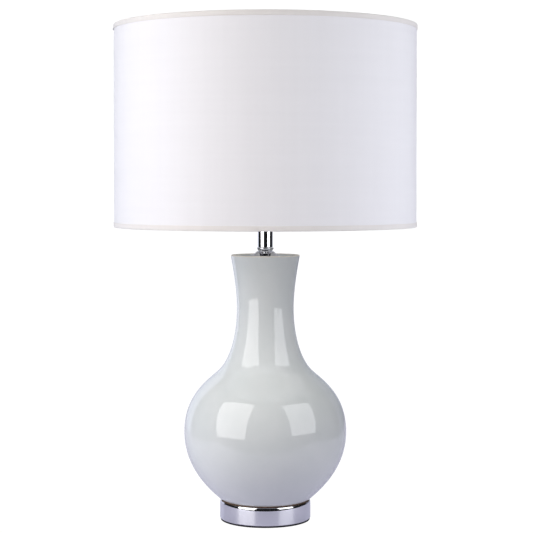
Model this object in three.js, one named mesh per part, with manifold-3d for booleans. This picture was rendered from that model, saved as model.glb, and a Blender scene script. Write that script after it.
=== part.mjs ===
// Table lamp: chromed drum base, glazed bottle vase, chromed neck, harp and fabric drum shade.
// Millimetres, +Z up. The origin is the centre of the underside, and the front faces -Y.

import * as THREE from "three";
import { mergeVertices } from "three/addons/utils/BufferGeometryUtils.js";
import Module from "manifold-3d";

const wasm = await Module();
wasm.setup();

// ---- Driving dimensions ----

const GAP = 0.3; // left wherever two pieces touch

const SHADE_RADIUS = 200;
const SHADE_HEIGHT = 265;
const SHADE_BOTTOM = 388;
const SHADE_TOP = SHADE_BOTTOM + SHADE_HEIGHT;

const BASE_RADIUS = 60;
const BASE_TOP = 25.6;
const BASE_WALL = 1.2;
const PAD_HEIGHT = 2;

const FOOT_RADIUS = 58.7; // the vase's foot
const VASE_BOTTOM = 27.5;
const BELLY_RADIUS = 107.4;
const BELLY_HEIGHT = 117;
const NECK_RADIUS = 37.6;
const NECK_HEIGHT = 279.8;
const MOUTH_RADIUS = 45.6;
const MOUTH_HEIGHT = 350;
const VASE_WALL = 5.5;

const PIPE_RADIUS = 4.8;
const PIPE_BORE = 3.4;
const PIPE_TOP = 409;
const TUBE_RADIUS = 9.8;
const TUBE_TOP = 398;

const SOCKET_RADIUS = 17.4;
const KNOB_HEIGHT = 430;

const HARP_WIRE = 1.75;
const HARP_LEG = 27; // half the distance between the harp's feet
const HARP_FOOT = 412.3;
const HARP_TOP = 631;
const STUD_BOTTOM = HARP_TOP + HARP_WIRE + GAP;
const STUD_HEIGHT = 16;
const STUD_FLANGE = 1.6;

const WIRE_RADIUS = 1.3; // the shade's wire rings
const ARM_COUNT = 3;
const HUB_HEIGHT = SHADE_TOP - 15;

// ---- Geometry helpers ----

const FULL_TURN = 2 * Math.PI;
const SHADE_SIDES = 56; // sides of the shade's round pieces
const BASE_SIDES = 48;

/** One closed, outward-facing body: shared vertices merged, collapsed triangles dropped. */
function closedBody(geometry) {
  const bare = geometry.index ? geometry.toNonIndexed() : geometry.clone();
  bare.deleteAttribute("normal");
  bare.deleteAttribute("uv");
  const merged = mergeVertices(bare, 1e-3);
  const corners = [];
  for (let i = 0; i < merged.index.count; i += 3) {
    const [a, b, c] = [0, 1, 2].map((k) => merged.index.getX(i + k));
    if (a !== b && b !== c && c !== a) corners.push(a, b, c);
  }
  merged.setIndex(corners);
  if (signedVolume(merged) < 0) merged.setIndex(corners.reverse());
  return merged;
}

function signedVolume(geometry) {
  const [a, b, c] = [new THREE.Vector3(), new THREE.Vector3(), new THREE.Vector3()];
  let volume = 0;
  for (let i = 0; i < geometry.index.count; i += 3) {
    a.fromBufferAttribute(geometry.attributes.position, geometry.index.getX(i));
    b.fromBufferAttribute(geometry.attributes.position, geometry.index.getX(i + 1));
    c.fromBufferAttribute(geometry.attributes.position, geometry.index.getX(i + 2));
    volume += a.dot(b.cross(c)) / 6;
  }
  return volume;
}

function toManifold(geometry) {
  const body = closedBody(geometry);
  return new wasm.Manifold(new wasm.Mesh({
    numProp: 3,
    vertProperties: new Float32Array(body.attributes.position.array),
    triVerts: new Uint32Array(body.index.array),
  }));
}

function fromManifold(solid) {
  const mesh = solid.getMesh();
  const geometry = new THREE.BufferGeometry();
  geometry.setAttribute("position", new THREE.BufferAttribute(new Float32Array(mesh.vertProperties), 3));
  geometry.setIndex(Array.from(mesh.triVerts));
  return geometry;
}

function join(first, ...others) {
  return fromManifold(others.reduce((sum, next) => sum.add(toManifold(next)), toManifold(first)));
}

function cut(first, ...others) {
  return fromManifold(others.reduce((rest, next) => rest.subtract(toManifold(next)), toManifold(first)));
}

/** A solid of revolution about +Z. The outline is [radius, height] pairs, from axis to axis. */
function turned(outline, sides) {
  const points = outline.map(([radius, height]) => new THREE.Vector2(radius, height));
  return closedBody(new THREE.LatheGeometry(points, sides).rotateX(Math.PI / 2));
}

/** A ring of revolution about +Z, whose outline closes on itself. */
function turnedRing(outline, sides) {
  return turned([...outline, outline[0]], sides);
}

/** A ring with a plain rectangular section. */
function band(inner, outer, bottom, top, sides) {
  return turnedRing([[inner, bottom], [outer, bottom], [outer, top], [inner, top]], sides);
}

/** A ring bent from round wire, centred on a height. */
function wireRing(radius, wire, height, sides) {
  const around = 6;
  const section = Array.from({ length: around }, (_, i) => {
    const turn = (i + 0.5) * FULL_TURN / around;
    return [radius + wire * Math.cos(turn), height + wire * Math.sin(turn)];
  });
  return turnedRing(section, sides);
}

/** Points along an arc in [radius, height], angles in degrees from the outward direction. */
function arc(centreRadius, centreHeight, radius, from, to, steps) {
  return Array.from({ length: steps + 1 }, (_, i) => {
    const angle = THREE.MathUtils.degToRad(from + (to - from) * i / steps);
    return [centreRadius + radius * Math.cos(angle), centreHeight + radius * Math.sin(angle)];
  });
}

/** A round bar along a curve. */
function bar(curve, radius, steps, sides) {
  const section = new THREE.Shape(
    Array.from({ length: sides }, (_, i) => {
      const turn = i * FULL_TURN / sides;
      return new THREE.Vector2(radius * Math.cos(turn), radius * Math.sin(turn));
    }),
  );
  return closedBody(new THREE.ExtrudeGeometry(section, { steps, extrudePath: curve, bevelEnabled: false }));
}

function straightBar(from, to, radius, sides) {
  return bar(new THREE.LineCurve3(new THREE.Vector3(...from), new THREE.Vector3(...to)), radius, 1, sides);
}

function box(size, centre) {
  return new THREE.BoxGeometry(...size).translate(...centre);
}

// ---- Finishes ----

const FINISHES = {
  chrome: { color: 0xdfe1e6, roughness: 0.08, metalness: 1 },
  steel: { color: 0xb9bcc0, roughness: 0.35, metalness: 1 },
  iron: { color: 0x3c3d40, roughness: 0.75, metalness: 0.6 },
  brass: { color: 0xc9a24f, roughness: 0.3, metalness: 1 },
  aluminium: { color: 0xc4c7cb, roughness: 0.35, metalness: 1 },
  felt: { color: 0x1d1c20, roughness: 1, metalness: 0 },
  cork: { color: 0x76604d, roughness: 0.95, metalness: 0 },
  rubber: { color: 0x1a1a1c, roughness: 0.8, metalness: 0 },
  blackPlastic: { color: 0x18181a, roughness: 0.4, metalness: 0 },
  cardboard: { color: 0xa98a62, roughness: 0.95, metalness: 0 },
  glaze: { color: 0xcad5d3, roughness: 0.06, metalness: 0 },
  fabric: { color: 0xf4f2f2, roughness: 0.9, metalness: 0 },
  trim: { color: 0xefe9e2, roughness: 0.9, metalness: 0 },
  styrene: { color: 0xf6f5f2, roughness: 0.5, metalness: 0 },
  milkGlass: { color: 0xf7f6f3, roughness: 0.35, metalness: 0 },
};

const lamp = new THREE.Group();
lamp.name = "table_lamp";

function add(name, geometry, finish) {
  const mesh = new THREE.Mesh(geometry, new THREE.MeshStandardMaterial(FINISHES[finish]));
  mesh.name = name;
  lamp.add(mesh);
}

// ---- Base: felt pad, iron weight, chromed drum and the clamping nut ----

const INLET_HEIGHT = 12;
const INLET_RADIUS = 5.2;

function baseShell() {
  const shoulderRadius = 7;
  const shoulderStart = BASE_TOP - 4.3; // the shoulder rolls in over the top few millimetres
  const bore = PIPE_RADIUS + 0.6;
  const rolled = (radius) => arc(BASE_RADIUS - shoulderRadius, shoulderStart, radius, 0, 38, 2);
  const outer = rolled(shoulderRadius);
  const inner = rolled(shoulderRadius - BASE_WALL).map(([radius, height]) =>
    [radius, Math.min(height, BASE_TOP - BASE_WALL)]);
  const drum = turnedRing([
    [BASE_RADIUS - BASE_WALL, PAD_HEIGHT + GAP],
    [BASE_RADIUS, PAD_HEIGHT + GAP],
    ...outer,
    [bore, BASE_TOP],
    [bore, BASE_TOP - BASE_WALL],
    ...inner.reverse(),
  ], BASE_SIDES);
  const through = (y) => [0, y, INLET_HEIGHT];
  const inlet = straightBar(through(BASE_RADIUS - 5), through(BASE_RADIUS + 5), INLET_RADIUS, 20);
  return cut(drum, inlet);
}

/** Iron disc with a well for the nut below and a channel for the cord at the rear. */
function baseWeight() {
  const radius = BASE_RADIUS - BASE_WALL - 1;
  const [bottom, top] = [PAD_HEIGHT + GAP, 22];
  const wellRadius = 18;
  const wellTop = 10.2;
  const bore = PIPE_RADIUS + 0.6;
  const disc = turnedRing([
    [wellRadius, bottom], [radius, bottom], [radius, top],
    [bore, top], [bore, wellTop], [wellRadius, wellTop],
  ], 32);
  const channelTop = INLET_HEIGHT + INLET_RADIUS + 2;
  const channel = box([16, radius, channelTop], [0, 10 + radius / 2, channelTop / 2]);
  return cut(disc, channel);
}

/** Snap-in bushing through the rear wall, turned about the inlet's axis. */
function inletBushing() {
  const neck = INLET_RADIUS - GAP;
  const hole = 3.3;
  const inside = BASE_RADIUS - BASE_WALL - 0.6;
  const outside = BASE_RADIUS + GAP;
  return turnedRing([
    [hole, inside - 1.6], [6.4, inside - 1.6], [6.4, inside], [neck, inside],
    [neck, outside], [6.6, outside], [6.6, outside + 1], [5.6, outside + 2], [hole, outside + 2],
  ], 20).rotateX(-Math.PI / 2).translate(0, 0, INLET_HEIGHT);
}

/** Hexagonal nut, measured across its flats. */
function hexNut(acrossFlats, bore, bottom, height) {
  const corner = acrossFlats / 2 / Math.cos(Math.PI / 6);
  const outline = Array.from({ length: 6 }, (_, i) =>
    new THREE.Vector2(corner * Math.cos(i * Math.PI / 3), corner * Math.sin(i * Math.PI / 3)));
  const shape = new THREE.Shape(outline);
  shape.holes.push(new THREE.Path().absarc(0, 0, bore, 0, FULL_TURN, true));
  const prism = new THREE.ExtrudeGeometry(shape, { depth: height, bevelEnabled: false, curveSegments: 20 });
  return closedBody(prism.translate(0, 0, bottom));
}

function makeBase() {
  const padRadius = BASE_RADIUS - 0.8;
  const pad = [[0, 0], [padRadius, 0], [padRadius, PAD_HEIGHT], [0, PAD_HEIGHT]];
  add("base_pad", turned(pad, BASE_SIDES), "felt");
  add("base_weight", baseWeight(), "iron");
  add("base_shell", baseShell(), "chrome");
  add("cord_inlet_bushing", inletBushing(), "blackPlastic");
  add("base_locknut", hexNut(14, PIPE_RADIUS + GAP, 4.3, 3.6), "brass");
  add("base_washer", band(PIPE_RADIUS + GAP, 14, 8.2, 9.9, 24), "steel");
  add("foot_gasket", band(44, FOOT_RADIUS - 0.9, BASE_TOP + GAP, VASE_BOTTOM - GAP, 32), "cork");
}

// ---- Vase: foot, round belly, slim neck and flared mouth in four smooth arcs ----

const VASE_ARCS = [
  [[FOOT_RADIUS, VASE_BOTTOM], [78, 43.6], [BELLY_RADIUS, 72], [BELLY_RADIUS, BELLY_HEIGHT]],
  [[BELLY_RADIUS, BELLY_HEIGHT], [BELLY_RADIUS, 165.5], [75.0, 185.3], [62.4, 197.2]],
  [[62.4, 197.2], [45.0, 213.6], [NECK_RADIUS, 249.6], [NECK_RADIUS, NECK_HEIGHT]],
  [[NECK_RADIUS, NECK_HEIGHT], [NECK_RADIUS, 306], [42.5, 331], [MOUTH_RADIUS, MOUTH_HEIGHT]],
];

/** The outer outline, or one inside it by the inset, as [radius, height] pairs. */
function vaseOutline(inset, stepsPerArc) {
  const path = new THREE.CurvePath();
  for (const corners of VASE_ARCS) {
    path.add(new THREE.CubicBezierCurve(...corners.map(([r, z]) => new THREE.Vector2(r, z))));
  }
  return path.curves.flatMap((curve, which) => {
    const first = which === 0 ? 0 : 1;
    return Array.from({ length: stepsPerArc + 1 - first }, (_, i) => {
      const t = (i + first) / stepsPerArc;
      const point = curve.getPoint(t);
      const along = curve.getTangent(t);
      return [point.x - inset * along.y, point.y + inset * along.x];
    });
  });
}

function vaseBody() {
  const floor = 36;
  const hole = 6;
  const recess = { radius: 50, top: VASE_BOTTOM + 3 };
  const inner = vaseOutline(VASE_WALL, 3).filter(([, z]) => z > floor + 4 && z < MOUTH_HEIGHT - 2);
  return turnedRing([
    [hole, recess.top], [recess.radius, recess.top], [recess.radius + 1, VASE_BOTTOM],
    ...vaseOutline(0, 5),
    [MOUTH_RADIUS - 0.9, MOUTH_HEIGHT + 1], [MOUTH_RADIUS - VASE_WALL + 1, MOUTH_HEIGHT + 1],
    [MOUTH_RADIUS - VASE_WALL, MOUTH_HEIGHT],
    ...inner.reverse(),
    [hole, floor],
  ], 36);
}

// ---- Neck: trumpet cap, check ring and tube, clamped on one threaded pipe ----

const CAP = { top: 355.6, drop: 12.4, rim: 38, wall: 0.9 };
const CHECK_RING = { bottom: CAP.top + GAP, top: CAP.top + GAP + 5, radius: 11 };

/** Trumpet-shaped cap that closes the vase's mouth; its flank falls from the collar to the rim. */
function vaseCap() {
  const bore = PIPE_RADIUS + GAP;
  const flank = [
    [11.4, CAP.top], [14.2, CAP.top - 2.6], [20.5, CAP.top - 6.4], [29, CAP.top - 10],
    [CAP.rim, CAP.top - CAP.drop],
  ];
  const under = flank.map(([radius, height]) => [radius, height - CAP.wall]).reverse();
  return turnedRing([[bore, CAP.top], ...flank, ...under, [bore, CAP.top - CAP.wall]], 32);
}

/** Ring between cap and tube: tapered below, with a rounded lip above. */
function checkRing() {
  const bore = PIPE_RADIUS + GAP;
  const { bottom, top, radius } = CHECK_RING;
  return turnedRing([
    [bore, bottom], [radius - 2.2, bottom], [radius, top - 1.8], [radius, top - 0.8],
    [radius - 0.7, top], [bore, top],
  ], 24);
}

function makeNeck() {
  add("vase_body", vaseBody(), "glaze");
  add("vase_cap", vaseCap(), "chrome");
  const gasketTop = CAP.top - CAP.drop - CAP.wall - GAP;
  add("cap_gasket", band(CAP.rim - 3.6, CAP.rim - 0.6, gasketTop - 1.6, gasketTop, 24), "rubber");
  add("check_ring", checkRing(), "chrome");
  add("neck_tube", band(TUBE_RADIUS - 1, TUBE_RADIUS, CHECK_RING.top + GAP, TUBE_TOP, 32), "chrome");
  add("threaded_pipe", band(PIPE_BORE, PIPE_RADIUS, PAD_HEIGHT + 1.2, PIPE_TOP, 20), "steel");
}

// ---- Socket: cap, shell, insulating liner, core with terminals, screw shell and turn switch ----

const CORE_BOTTOM = 419.5;
const CORE_TOP = 437;
const CORE_RADIUS = 13.6;
const TERMINAL_HEIGHT = CORE_BOTTOM + 6;

function socketCap() {
  const [bottom, wall] = [TUBE_TOP + 2.5, 0.8];
  const [top, floor] = [bottom + 20, bottom + 5.4];
  const bore = PIPE_RADIUS + GAP;
  const collar = 8.6;
  const bend = SOCKET_RADIUS - 2;
  return turnedRing([
    [bore, bottom], [collar, bottom], [collar, bottom + 4], [bend, bottom + 9], [SOCKET_RADIUS, bottom + 12],
    [SOCKET_RADIUS, top], [SOCKET_RADIUS - wall, top], [SOCKET_RADIUS - wall, bottom + 12.4],
    [bend - wall, bottom + 9.6], [collar - wall, floor], [bore, floor],
  ], 28);
}

function knobHole(radius) {
  return straightBar([0, -5, KNOB_HEIGHT], [0, -SOCKET_RADIUS - 5, KNOB_HEIGHT], radius, 16);
}

function switchKnob() {
  const radius = 5.2;
  const [start, length] = [SOCKET_RADIUS + 4.6, 12];
  const body = turned([
    [0, 0], [3.4, 0], [3.4, 2], [radius, 3], [radius, length - 1], [radius - 1, length], [0, length],
  ], 24).rotateX(Math.PI / 2);
  const grips = [45, 135, 225, 315].map((degrees) => {
    const angle = THREE.MathUtils.degToRad(degrees);
    return box([1.4, 9, 1.4], [radius * Math.cos(angle), -8, radius * Math.sin(angle)]);
  });
  return closedBody(cut(body, ...grips).translate(0, -start, KNOB_HEIGHT));
}

function makeSocket() {
  const shellRadius = SOCKET_RADIUS - 1.1;
  const [shellBottom, shellTop] = [TUBE_TOP + 15.5, 463];
  add("socket_cap", socketCap(), "chrome");
  const shell = turnedRing([
    [shellRadius - 0.7, shellBottom], [shellRadius, shellBottom], [shellRadius, shellTop - 1],
    [shellRadius - 0.5, shellTop], [shellRadius - 0.9, shellTop], [shellRadius - 0.7, shellTop - 1],
  ], 28);
  add("socket_shell", cut(shell, knobHole(4)), "chrome");
  const liner = band(shellRadius - 1.7, shellRadius - 1, shellBottom + 3, shellTop - 3, 28);
  add("socket_liner", cut(liner, knobHole(3.4)), "cardboard");
  const core = turned([
    [0, CORE_BOTTOM], [CORE_RADIUS, CORE_BOTTOM], [CORE_RADIUS, CORE_TOP], [0, CORE_TOP],
  ], 28);
  add("socket_core", cut(core, ...terminalSockets(), knobHole(2.6)), "blackPlastic");
  add("socket_screw_shell", band(13.4, 14, CORE_TOP + GAP, 460, 28), "brass");
  add("socket_contact", box([5, 5, 1], [0, 0, CORE_TOP + GAP + 0.5]), "brass");
  for (const [side, sign] of [["left", -1], ["right", 1]]) {
    add(`terminal_screw_${side}`, terminalScrew(sign), side === "left" ? "brass" : "steel");
  }
  const shaft = straightBar([0, -6, KNOB_HEIGHT], [0, -SOCKET_RADIUS - 4.2, KNOB_HEIGHT], 1.8, 12);
  add("switch_shaft", shaft, "brass");
  add("switch_knob", switchKnob(), "blackPlastic");
}

function terminalSockets() {
  return [-1, 1].map((sign) => box([7, 8, 9], [sign * (CORE_RADIUS - 1), 0, TERMINAL_HEIGHT]));
}

function terminalScrew(sign) {
  const head = turned([[0, 0], [1.4, 0], [1.4, 1.2], [2.9, 1.2], [2.9, 2.6], [0, 2.6]], 16);
  const seat = sign * (CORE_RADIUS - 4.2);
  return closedBody(head.rotateY(sign * Math.PI / 2).translate(seat, 0, TERMINAL_HEIGHT));
}

// ---- Bulb: screw base, contact and glass ----

const BULB_BASE = { bottom: 440.6, top: 466, radius: 12.9 };
const GLASS = { radius: 30, centre: 516 };

function makeBulb() {
  const { bottom, top, radius } = BULB_BASE;
  const contact = [[0, bottom - 1.8], [4, bottom - 1.8], [8.6, bottom - GAP], [0, bottom - GAP]];
  add("bulb_contact", turned(contact, 20), "brass");
  add("bulb_screw_base", turned([
    [0, bottom], [9, bottom], [radius - 0.6, bottom + 3], [radius - 0.2, top - 1], [radius, top], [0, top],
  ], 24), "aluminium");
  const dome = arc(0, GLASS.centre, GLASS.radius, -30, 90, 7);
  const throat = [[0, top + GAP], [13.4, top + GAP], [14.6, top + 7], [19, top + 22]];
  const crown = [0, GLASS.centre + GLASS.radius];
  add("bulb_glass", turned([...throat, ...dome.slice(0, -1), crown], 24), "milkGlass");
}

// ---- Harp: saddle, two sleeves, bent wire and a threaded stud ----

function harpSaddle() {
  const [bottom, thickness] = [TUBE_TOP + GAP, 1.9];
  const plate = box([2 * HARP_LEG + 7, 9, thickness], [0, 0, bottom + thickness / 2]);
  const middle = turned([[0, bottom], [12, bottom], [12, bottom + thickness], [0, bottom + thickness]], 28);
  const ears = [-1, 1].map((sign) =>
    straightBar([sign * HARP_LEG, 0, bottom + 0.5], [sign * HARP_LEG, 0, HARP_FOOT - GAP], HARP_WIRE, 12));
  const hole = straightBar([0, 0, bottom - 2], [0, 0, bottom + 5], PIPE_RADIUS + GAP, 20);
  return cut(join(plate, middle, ...ears), hole);
}

function harpWire() {
  const half = [
    [HARP_LEG, HARP_FOOT], [HARP_LEG, 430], [HARP_LEG, 444], [37, 464], [52, 496], [56, 530], [50, 568],
    [34, 602], [15, 624],
  ];
  const right = half.map(([x, z]) => new THREE.Vector3(x, 0, z));
  const left = half.map(([x, z]) => new THREE.Vector3(-x, 0, z)).reverse();
  const top = new THREE.Vector3(0, 0, HARP_TOP);
  const curve = new THREE.CatmullRomCurve3([...right, top, ...left], false, "centripetal");
  return bar(curve, HARP_WIRE, 48, 8);
}

function harpStud() {
  const [seat, top] = [STUD_BOTTOM + STUD_FLANGE, STUD_BOTTOM + STUD_HEIGHT];
  return turned([[0, STUD_BOTTOM], [9, STUD_BOTTOM], [9, seat], [3, seat], [3, top], [0, top]], 20);
}

function makeHarp() {
  add("harp_saddle", harpSaddle(), "steel");
  add("harp", harpWire(), "steel");
  add("harp_stud", harpStud(), "brass");
  for (const [side, sign] of [["left", -1], ["right", 1]]) {
    const sleeve = band(HARP_WIRE + 0.35, HARP_WIRE + 1.2, 406, 420, 16);
    add(`harp_sleeve_${side}`, sleeve.translate(sign * HARP_LEG, 0, 0), "steel");
  }
}

// ---- Shade: wire frame, styrene liner, fabric skin and folded trims ----

const SKIN_RADIUS = SHADE_RADIUS - 0.8; // the trims stand proud of the skin
const RING_RADIUS = SKIN_RADIUS - 3.2;
const TOP_RING_HEIGHT = SHADE_TOP - 2;
const HUB_OUTER = 13;
const HUB_BORE = 4;
const HUB_THICKNESS = 1.8;

function armAngles() {
  return Array.from({ length: ARM_COUNT }, (_, i) => Math.PI / 2 + i * FULL_TURN / ARM_COUNT);
}

function spiderArm(angle, radius) {
  const at = (r, z) => new THREE.Vector3(r * Math.cos(angle), r * Math.sin(angle), z);
  const middle = HUB_HEIGHT + HUB_THICKNESS / 2;
  const ringHeight = TOP_RING_HEIGHT;
  const curve = new THREE.CatmullRomCurve3([
    at(HUB_OUTER - 3, middle), at(60, middle), at(RING_RADIUS - 34, middle), at(RING_RADIUS - 20, middle + 2),
    at(RING_RADIUS - 6, ringHeight), at(RING_RADIUS, ringHeight),
  ], false, "centripetal");
  return bar(curve, radius, 9, 6);
}

function shadeSpider() {
  const ring = wireRing(RING_RADIUS, WIRE_RADIUS, TOP_RING_HEIGHT, SHADE_SIDES);
  const hub = band(HUB_BORE, HUB_OUTER, HUB_HEIGHT, HUB_HEIGHT + HUB_THICKNESS, 16);
  return join(ring, hub, ...armAngles().map((angle) => spiderArm(angle, WIRE_RADIUS)));
}

/** Folded strip round one edge: outer leg, edge and inner leg, drawn upwards from the edge. */
function trimStrip(edge, inwards) {
  const leg = 6.5;
  const thick = 0.5;
  const inner = RING_RADIUS - WIRE_RADIUS - 0.8;
  const z = (distance) => edge + inwards * distance;
  return turnedRing([
    [inner, z(0)], [SHADE_RADIUS, z(0)], [SHADE_RADIUS, z(leg)], [SHADE_RADIUS - thick, z(leg)],
    [SHADE_RADIUS - thick, z(thick)], [inner + thick, z(thick)], [inner + thick, z(leg)], [inner, z(leg)],
  ], SHADE_SIDES);
}

function makeShade() {
  const inset = 0.5 + GAP;
  const [low, high] = [SHADE_BOTTOM + inset, SHADE_TOP - inset];
  add("shade_washer", band(HUB_BORE, 9, STUD_BOTTOM + STUD_FLANGE + GAP, HUB_HEIGHT - GAP, 20), "brass");
  add("shade_spider", shadeSpider(), "steel");
  add("shade_bottom_ring", wireRing(RING_RADIUS, WIRE_RADIUS, SHADE_BOTTOM + 2.2, SHADE_SIDES), "steel");
  add("shade_fabric", band(SKIN_RADIUS - 0.6, SKIN_RADIUS, low, high, SHADE_SIDES), "fabric");
  add("shade_liner", band(SKIN_RADIUS - 1.4, SKIN_RADIUS - 0.9, low, high, SHADE_SIDES), "styrene");
  const notches = armAngles().map((angle) => spiderArm(angle, WIRE_RADIUS + GAP));
  add("shade_trim_top", cut(trimStrip(SHADE_TOP, -1), ...notches), "trim");
  add("shade_trim_bottom", trimStrip(SHADE_BOTTOM, 1), "trim");
}

// ---- Finial: knurled foot and ball, drilled to screw on the stud ----

function makeFinial() {
  const bottom = HUB_HEIGHT + HUB_THICKNESS + GAP;
  const boreTop = STUD_BOTTOM + STUD_HEIGHT + 0.6;
  const ball = { radius: 8, centre: bottom + 17.5 };
  const bore = 3.4;
  const round = arc(0, ball.centre, ball.radius, -60, 90, 6);
  add("finial", turned([
    [0, boreTop], [bore, boreTop], [bore, bottom], [7.5, bottom], [7.5, bottom + 3],
    [5, bottom + 4.5], [4.2, bottom + 8], ...round.slice(0, -1), [0, ball.centre + ball.radius],
  ], 20), "chrome");
}

makeBase();
makeNeck();
makeSocket();
makeBulb();
makeHarp();
makeShade();
makeFinial();

export default lamp;
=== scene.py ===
"""Looks of the table lamp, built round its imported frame: chrome base, glazed vase, harp and drum shade."""

import math

import bpy
from mathutils import Matrix, Vector, noise


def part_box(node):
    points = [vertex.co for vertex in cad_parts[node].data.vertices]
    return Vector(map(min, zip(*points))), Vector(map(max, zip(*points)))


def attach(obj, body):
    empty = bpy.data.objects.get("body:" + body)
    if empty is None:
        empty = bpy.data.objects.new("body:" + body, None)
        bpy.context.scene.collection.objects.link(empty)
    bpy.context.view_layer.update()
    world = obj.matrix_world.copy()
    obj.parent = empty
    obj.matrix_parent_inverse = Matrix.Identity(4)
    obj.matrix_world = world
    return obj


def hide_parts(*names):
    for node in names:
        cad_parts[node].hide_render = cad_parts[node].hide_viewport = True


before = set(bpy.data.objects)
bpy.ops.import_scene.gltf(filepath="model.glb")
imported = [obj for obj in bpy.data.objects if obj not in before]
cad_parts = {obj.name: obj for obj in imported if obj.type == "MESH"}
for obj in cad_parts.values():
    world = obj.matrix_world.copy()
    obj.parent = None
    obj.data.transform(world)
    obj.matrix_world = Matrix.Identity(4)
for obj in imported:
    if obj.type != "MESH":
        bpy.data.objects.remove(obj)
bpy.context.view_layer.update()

MM = 0.001
FULL_TURN = 2 * math.pi

# ---------------------------------------------------------------- sizes from the frame


def radius_of(node):
    """Half the width of a round node, in metres."""
    low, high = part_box(node)
    return (high.x - low.x) / 2


def span_of(node):
    """Heights of a node's lowest and highest points, in metres."""
    low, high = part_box(node)
    return low.z, high.z


BASE_RADIUS = radius_of("base_shell")
BASE_BOTTOM, BASE_TOP = span_of("base_shell")
VASE_BOTTOM, VASE_TOP = span_of("vase_body")
SHADE_RADIUS = radius_of("shade_trim_bottom")
SHADE_BOTTOM = span_of("shade_trim_bottom")[0]
SHADE_TOP = span_of("shade_trim_top")[1]
SKIN_RADIUS = radius_of("shade_fabric")
RING_WIRE = 1.3 * MM
RING_RADIUS = radius_of("shade_bottom_ring") - RING_WIRE
ARM_ANGLES = [math.pi / 2 + i * FULL_TURN / 3 for i in range(3)]
PIPE_BORE = 5.1  # radius in millimetres of the holes that the threaded pipe passes through

# ---------------------------------------------------------------- mesh helpers

ON_AXIS = 1e-7  # a point nearer the axis than this, in metres, is a pole
ON_CREST = 0.01  # a wall within this many millimetres of the crest is cut by a thread or flutes


def add_object(name, vertices, faces, sharp=40):
    """A smooth-shaded mesh object whose edges over the sharp angle stay crisp."""
    mesh = bpy.data.meshes.new(name)
    mesh.from_pydata([tuple(v) for v in vertices], [], faces)
    mesh.validate()
    mesh.polygons.foreach_set("use_smooth", [True] * len(mesh.polygons))
    mesh.set_sharp_from_angle(angle=math.radians(sharp))
    piece = bpy.data.objects.new(name, mesh)
    bpy.context.scene.collection.objects.link(piece)
    return piece


def turned(name, outline, segments=128, closed=False, sharp=40, worked=None):
    """A solid of revolution about +Z from (radius, height) points, with poles where it meets the axis.

    worked(radius, height, turn) gives the radius that a thread, knurl or ripple leaves at each point.
    """
    vertices, rows = [], []
    for radius, height in outline:
        if radius < ON_AXIS:
            rows.append([len(vertices)])
            vertices.append((0, 0, height))
            continue
        rows.append(range(len(vertices), len(vertices) + segments))
        for i in range(segments):
            turn = i * FULL_TURN / segments
            reach = worked(radius, height, turn) if worked else radius
            vertices.append((reach * math.cos(turn), reach * math.sin(turn), height))
    faces = []
    for low, high in zip(rows, rows[1:] + (rows[:1] if closed else [])):
        for i in range(segments):
            j = (i + 1) % segments
            if len(low) == 1 and len(high) == 1:
                continue
            if len(low) == 1:
                faces.append((low[0], high[j], high[i]))
            elif len(high) == 1:
                faces.append((low[i], low[j], high[0]))
            else:
                faces.append((low[i], low[j], high[j], high[i]))
    return add_object(name, vertices, faces, sharp)


def filleted(corners, steps=5):
    """An outline from (radius, height, fillet) corners in millimetres, as points in metres."""
    points = []
    count = len(corners)
    for i, (r, z, fillet) in enumerate(corners):
        here = Vector((r, z))
        if not fillet:
            points.append(here)
            continue
        before = Vector(corners[i - 1][:2]) - here
        after = Vector(corners[(i + 1) % count][:2]) - here
        reach = min(fillet, before.length * 0.49, after.length * 0.49)
        start, end = here + before.normalized() * reach, here + after.normalized() * reach
        for k in range(steps + 1):
            t = k / steps
            points.append(start * (1 - t) ** 2 + here * 2 * t * (1 - t) + end * t * t)
    return [(p.x * MM, p.y * MM) for p in points]


def ladder(radius, low, high, step):
    """Corners up a straight wall, close enough together to cut a thread or knurl in it."""
    count = max(2, round((high - low) / step))
    return [(radius, low + (high - low) * i / count, 0) for i in range(count + 1)]


def thread(pitch, depth, low, high, crest):
    """A screw thread cut into the walls of one radius between two heights, all in millimetres."""
    def worked(radius, height, turn):
        if abs(radius / MM - crest) > ON_CREST:
            return radius
        z = height / MM
        ends = max(0.0, min(1.0, (z - low) / pitch, (high - z) / pitch))
        wave = 0.5 - 0.5 * math.cos(FULL_TURN * z / pitch - turn)
        return radius - depth * MM * ends * wave
    return worked


def flutes(count, depth, crest):
    """Upright grooves round the walls of one radius, in millimetres."""
    def worked(radius, height, turn):
        if abs(radius / MM - crest) > ON_CREST:
            return radius
        return radius - depth * MM * (0.5 - 0.5 * math.cos(count * turn)) ** 2
    return worked


def spline(points, steps):
    """A smooth open curve through 3-D points, by Catmull-Rom."""
    points = [Vector(p) for p in points]
    padded = [points[0] * 2 - points[1]] + points + [points[-1] * 2 - points[-2]]
    curve = []
    for a, b, c, d in zip(padded, padded[1:], padded[2:], padded[3:]):
        for k in range(steps):
            t = k / steps
            square, cube = (2 * a - 5 * b + 4 * c - d) * t**2, (3 * b - a - 3 * c + d) * t**3
            curve.append(0.5 * (2 * b + (c - a) * t + square + cube))
    return curve + [points[-1]]


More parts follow.
